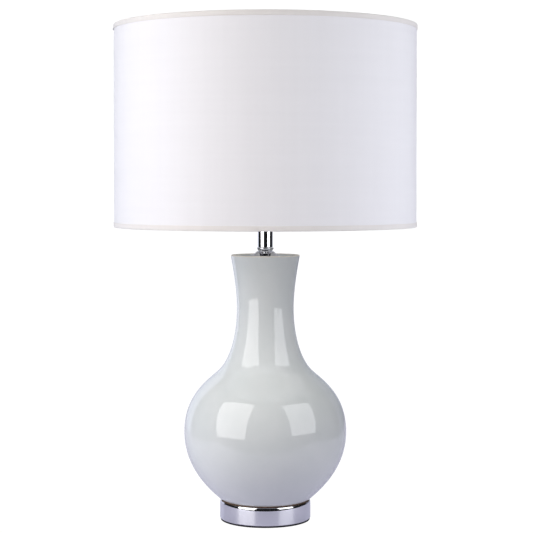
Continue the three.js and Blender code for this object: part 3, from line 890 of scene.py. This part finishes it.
def make_saddle():
    low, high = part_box("harp_saddle")
    leg = high.x - 3.5 * MM
    plate_top = low.z + 1.9 * MM
    half_long, half_wide = leg + 3.3 * MM, 4.5 * MM
    plate = slab("saddle_plate", (-half_long, -half_wide, low.z), (half_long, half_wide, plate_top), 0.5 * MM)
    corners = [
        (PIPE_BORE, low.z / MM, 0.2), (12, low.z / MM, 0.5), (12, plate_top / MM, 0.5),
        (PIPE_BORE, plate_top / MM, 0.2),
    ]
    middle = turned("saddle_middle", filleted(corners), 96, closed=True)
    drill(plate, swept("saddle_hole", [(0, 0, low.z - 0.003), (0, 0, plate_top + 0.003)], 9 * MM, 64))
    ears = []
    for side in (-1, 1):
        path = [(side * leg, 0, z) for z in (low.z + 0.6 * MM, high.z - 0.5 * MM, high.z)]
        ears.append(swept("saddle_ear", path, [HARP_WIRE, HARP_WIRE, HARP_WIRE - 0.4 * MM], 32))
        curl = [(side * leg, y * MM, plate_top + 0.2 * MM) for y in (-4.2, 4.2)]
        ears.append(swept("saddle_curl", curl, 1.1 * MM, 20))
    saddle = joined("harp_saddle_pressed", plate, middle, *ears)
    finish_piece(saddle, "lamp_base", NICKEL, "steel", "harp_saddle")


def make_harp():
    low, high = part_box("harp")
    foot, top = low.z, high.z - HARP_WIRE
    leg = (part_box("harp_sleeve_right")[0].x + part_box("harp_sleeve_right")[1].x) / 2
    widest = high.x - HARP_WIRE
    tall = top - foot
    bends = [  # half the width, and the share of the height
        (leg, 0), (leg, 0.08), (leg, 0.145), (0.66 * widest, 0.236), (0.93 * widest, 0.383),
        (widest, 0.538), (0.893 * widest, 0.712), (0.607 * widest, 0.867), (0.268 * widest, 0.968),
    ]
    right = [Vector((x, 0, foot + share * tall)) for x, share in bends]
    left = [Vector((-p.x, 0, p.z)) for p in reversed(right)]
    path = spline(right + [Vector((0, 0, top))] + left, 12)
    harp = swept("harp_bent_wire", path, HARP_WIRE, 24)
    finish_piece(harp, "lamp_base", NICKEL, "steel", "harp")

    low, high = [z / MM for z in span_of("harp_stud")]
    crest = 3.0
    corners = [(0, low, 0), (8.4, low, 0.3), (9, low + 0.5, 0.3), (9, low + 1.2, 0.3), (8.4, low + 1.6, 0.3)]
    corners += ladder(crest, low + 1.7, high - 0.8, 0.15) + [(2.3, high, 0.2), (0, high, 0)]
    screw = thread(0.94, 0.45, low + 2, high - 0.8, crest)
    stud = turned("harp_stud_threaded", filleted(corners), 64, worked=screw)
    finish_piece(stud, "lamp_base", BRASS, "brass", "harp_stud")

    for side in ("left", "right"):
        node = f"harp_sleeve_{side}"
        low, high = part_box(node)
        bottom, top = low.z / MM, high.z / MM
        corners = [
            (2.1, bottom, 0.2), (2.95, bottom, 0.3), (2.95, bottom + 1.2, 0.4), (2.6, bottom + 2.2, 0.4),
            (2.6, top - 3.4, 0.4), (2.95, top - 2.4, 0.4), (2.95, top, 0.4), (2.1, top, 0.2),
        ]
        sleeve = turned(f"harp_sleeve_{side}_rolled", filleted(corners), 64, closed=True)
        moved(sleeve, Matrix.Translation(((low.x + high.x) / 2, 0, 0)))
        finish_piece(sleeve, f"sleeve_{side}", NICKEL, "steel", node)


# ---------------------------------------------------------------- shade

SKIN_THICK = 0.35
SEAM_TURN = math.pi / 2  # the joint is at the back
SEAM_LAP = 9 * MM / SKIN_RADIUS  # how far the cloth laps over itself, as an angle


def ripple(turn, height, size, seed):
    """A faint unevenness, as far as size, that goes round without a step."""
    where = Vector((3 * math.cos(turn), 3 * math.sin(turn), height * 9 + seed))
    return size * noise.noise(where)


def make_skin():
    """The cloth laminated round the liner: one sheet whose end laps over its start at the back."""
    low, high = span_of("shade_fabric")
    rows, across = 36, 360
    thick = SKIN_THICK * MM
    under = SKIN_RADIUS - thick - 0.05 * MM
    total = FULL_TURN + SEAM_LAP
    vertices, faces = [], []
    for layer in (0, 1):
        for i in range(across + 1):
            along = total * i / across
            rise = max(0.0, min(1.0, (along - SEAM_LAP) / (0.6 * SEAM_LAP)))
            radius = under + (SKIN_RADIUS - under) * rise - layer * thick * 0.9
            turn = SEAM_TURN + along
            for k in range(rows + 1):
                height = low + (high - low) * k / rows
                ends = min(1.0, k / 3, (rows - k) / 3)
                reach = radius + ends * ripple(turn, height, 0.1 * MM, 5)
                vertices.append((reach * math.cos(turn), reach * math.sin(turn), height))
    width = rows + 1
    back = (across + 1) * width
    for i in range(across):
        for k in range(rows):
            a = i * width + k
            faces.append((a, a + width, a + width + 1, a + 1))
            faces.append((back + a, back + a + 1, back + a + width + 1, back + a + width))
        for k in (0, rows):
            a = i * width + k
            rim = (a, back + a, back + a + width, a + width)
            faces.append(rim if k == 0 else rim[::-1])
    for i in (0, across):
        for k in range(rows):
            a = i * width + k
            end = (a, a + 1, back + a + 1, back + a)
            faces.append(end if i == 0 else end[::-1])
    skin = add_object("shade_skin", vertices, faces)
    finish_piece(skin, "shade", FABRIC, "shade_fabric", "shade_fabric")


def make_liner():
    low, high = [z / MM for z in span_of("shade_liner")]
    outer = SKIN_RADIUS / MM - 2 * SKIN_THICK - 0.2
    corners = [(outer - 0.45, low, 0.1), (outer, low, 0.1), (outer, high, 0.1), (outer - 0.45, high, 0.1)]
    liner = turned("shade_liner_sheet", filleted(corners, 2), 256, closed=True)
    finish_piece(liner, "shade", STYRENE, "shade_liner", "shade_liner")


TRIM_LEG = 6.5
TRIM_THICK = 0.5
TRIM_SEAM_TURN = SEAM_TURN + 0.06  # a little to one side of the cloth's own joint
TRIM_HALF_LAP = 0.024  # as an angle, and the step at its end
TRIM_LAP_STEP = 0.002


def make_trim(which, edge, inwards):
    """Cloth strip folded round a wire ring: outer leg, rounded edge, inner leg, with its ends lapped."""
    outer = SHADE_RADIUS / MM
    inner = RING_RADIUS / MM - 2.1
    corners = [
        (inner + TRIM_THICK, TRIM_LEG - 0.3, 0.15), (inner, TRIM_LEG - 0.3, 0.15), (inner, 0, 1.7),
        (outer, 0, 1.3), (outer, TRIM_LEG, 0.15), (outer - TRIM_THICK, TRIM_LEG, 0.15),
        (outer - TRIM_THICK, TRIM_THICK, 0.9), (inner + TRIM_THICK, TRIM_THICK, 1.3),
    ]
    placed = [(r, edge / MM + inwards * z, fillet) for r, z, fillet in corners]

    def worked(radius, height, turn):
        out = 1 if radius > RING_RADIUS else -1
        from_edge = abs(height - edge) / (TRIM_LEG * MM)
        gap = abs((turn - TRIM_SEAM_TURN + math.pi) % FULL_TURN - math.pi)
        lap = max(0.0, min(1.0, (TRIM_HALF_LAP - gap) / TRIM_LAP_STEP))
        loose = ripple(turn, from_edge * 0.02, 0.16 * MM, 11) * from_edge
        return radius + out * (0.22 * MM * lap - abs(loose) * 0.5)

    strip = turned(f"shade_trim_{which}_folded", filleted(placed, 5), 400, closed=True, worked=worked)
    finish_piece(strip, "shade", TRIM, "shade_trim", f"shade_trim_{which}")
    return strip


BUTT_WELD_TURN = 2.2  # where the ends of the bottom ring meet
TOP_RING_HEIGHT = SHADE_TOP - 2 * MM
HUB_LOW = span_of("shade_washer")[1] + 0.3 * MM
HUB_HIGH = HUB_LOW + 1.8 * MM
HUB_MIDDLE = (HUB_LOW + HUB_HIGH) / 2


def ring_of_wire(name, height):
    """A closed wire ring."""
    path = [(RING_RADIUS * math.cos(a), RING_RADIUS * math.sin(a), height) for a in
            (i * FULL_TURN / 240 for i in range(240))]
    return swept(name, path, RING_WIRE, 14, closed=True)


def weld(name, at, along, size):
    """A small blob of weld metal, stretched along the wire."""
    steps = 10
    shares = [2 * i / steps - 1 for i in range(steps + 1)]
    path = [at + along * size * 1.6 * share for share in shares]
    radii = [max(0.1 * size, size * math.sqrt(max(0.0, 1 - share**2))) for share in shares]
    return swept(name, path, radii, 14)


def arm_path(angle):
    """Wire from the hub, level to near the skin, then up in a gallery bend to the ring."""
    bends = [
        (10 * MM, HUB_MIDDLE), (60 * MM, HUB_MIDDLE), (RING_RADIUS - 34 * MM, HUB_MIDDLE),
        (RING_RADIUS - 20 * MM, HUB_MIDDLE + 2 * MM), (RING_RADIUS - 6 * MM, TOP_RING_HEIGHT),
        (RING_RADIUS, TOP_RING_HEIGHT),
    ]
    return spline([(r * math.cos(angle), r * math.sin(angle), z) for r, z in bends], 14)


def make_shade_frame():
    low, high = HUB_LOW / MM, HUB_HIGH / MM
    corners = [
        (4, low, 0.3), (13, low, 0.5), (13, high, 0.5), (10.5, high, 0.3), (10, high - 0.3, 0.3),
        (9.4, high, 0.3), (4, high, 0.3),
    ]
    parts = [ring_of_wire("top_ring", TOP_RING_HEIGHT), turned("hub", filleted(corners), 96, closed=True)]
    for angle in ARM_ANGLES:
        parts.append(swept("arm", arm_path(angle), RING_WIRE, 16))
        out = Vector((math.cos(angle), math.sin(angle), 0))
        around = Vector((-out.y, out.x, 0))
        joint = Vector((0, 0, TOP_RING_HEIGHT)) + out * RING_RADIUS
        parts.append(weld("ring_weld", joint, around, 1.75 * MM))
        parts.append(weld("hub_weld", Vector((0, 0, HUB_MIDDLE)) + out * 12.6 * MM, out, 1.6 * MM))
    spider = joined("shade_frame_top", *parts)
    finish_piece(spider, "shade", NICKEL, "steel", "shade_spider")

    low, high = span_of("shade_bottom_ring")
    height = (low + high) / 2
    across, back = math.cos(BUTT_WELD_TURN), math.sin(BUTT_WELD_TURN)
    butt = Vector((RING_RADIUS * across, RING_RADIUS * back, height))
    seam = weld("butt_weld", butt, Vector((-back, across, 0)), 1.6 * MM)
    ring = joined("shade_frame_bottom", ring_of_wire("bottom_ring", height), seam)
    finish_piece(ring, "shade", NICKEL, "steel", "shade_bottom_ring")

    low, high = [z / MM for z in span_of("shade_washer")]
    corners = [(4, low, 0.3), (9, low, 0.5), (9, high, 0.5), (4, high, 0.3)]
    washer = turned("shade_washer_turned", filleted(corners), 96, closed=True)
    finish_piece(washer, "seat_washer", BRASS, "brass", "shade_washer")


def make_shade():
    make_skin()
    make_liner()
    make_shade_frame()
    slits = [swept("slit", arm_path(angle), 1.5 * MM, 12) for angle in ARM_ANGLES]
    top = make_trim("top", SHADE_TOP, -1)
    for slit in slits:
        drill(top, slit)
    make_trim("bottom", SHADE_BOTTOM, 1)


# ---------------------------------------------------------------- finial


def make_finial():
    """Turned ball on a waisted neck with a knurled foot, drilled from below."""
    low, high = [z / MM for z in span_of("finial")]
    ball, foot, bore = 8.0, 7.5, 3.4
    centre = high - ball
    bore_top = span_of("harp_stud")[1] / MM + 0.6
    corners = [(0, bore_top, 0), (bore, bore_top - 0.4, 0.4), (bore, low, 0.2), (foot - 0.4, low, 0.2)]
    corners += ladder(foot, low + 0.4, low + 2.6, 0.4)
    corners += [(foot - 0.5, low + 3, 0.3), (5.4, low + 3.6, 0.8), (4.3, low + 6.4, 2), (4.3, low + 7.6, 0.6),
                (5.1, low + 8.3, 0.4), (5.1, low + 9, 0.4), (4.4, low + 9.6, 0.4)]
    corners += [(ball * math.cos(a), centre + ball * math.sin(a), 0) for a in
                (math.radians(-55 + 145 * i / 36) for i in range(36))]
    finial = turned("finial_turned", filleted(corners + [(0, high, 0)]), 144, worked=flutes(48, 0.3, foot))
    finish_piece(finial, "finial", CHROME, "chrome", "finial")


make_base()
make_vase()
make_neck()
make_socket()
make_bulb()
make_saddle()
make_harp()
make_shade()
make_finial()

# ---------------------------------------------------------------- CAD nodes that keep their own shape

KEPT = {
    "base_weight": IRON, "base_locknut": BRASS, "base_washer": NICKEL, "cap_gasket": RUBBER,
    "threaded_pipe": NICKEL, "socket_liner": CARD, "socket_core": BLACK_PLASTIC,
    "socket_screw_shell": BRASS, "socket_contact": BRASS, "terminal_screw_left": BRASS,
    "terminal_screw_right": NICKEL, "switch_shaft": BRASS, "bulb_contact": BRASS,
}


def dress_kept_nodes():
    for name, look in KEPT.items():
        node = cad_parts[name]
        node.data.materials.clear()
        node.data.materials.append(look)


dress_kept_nodes()
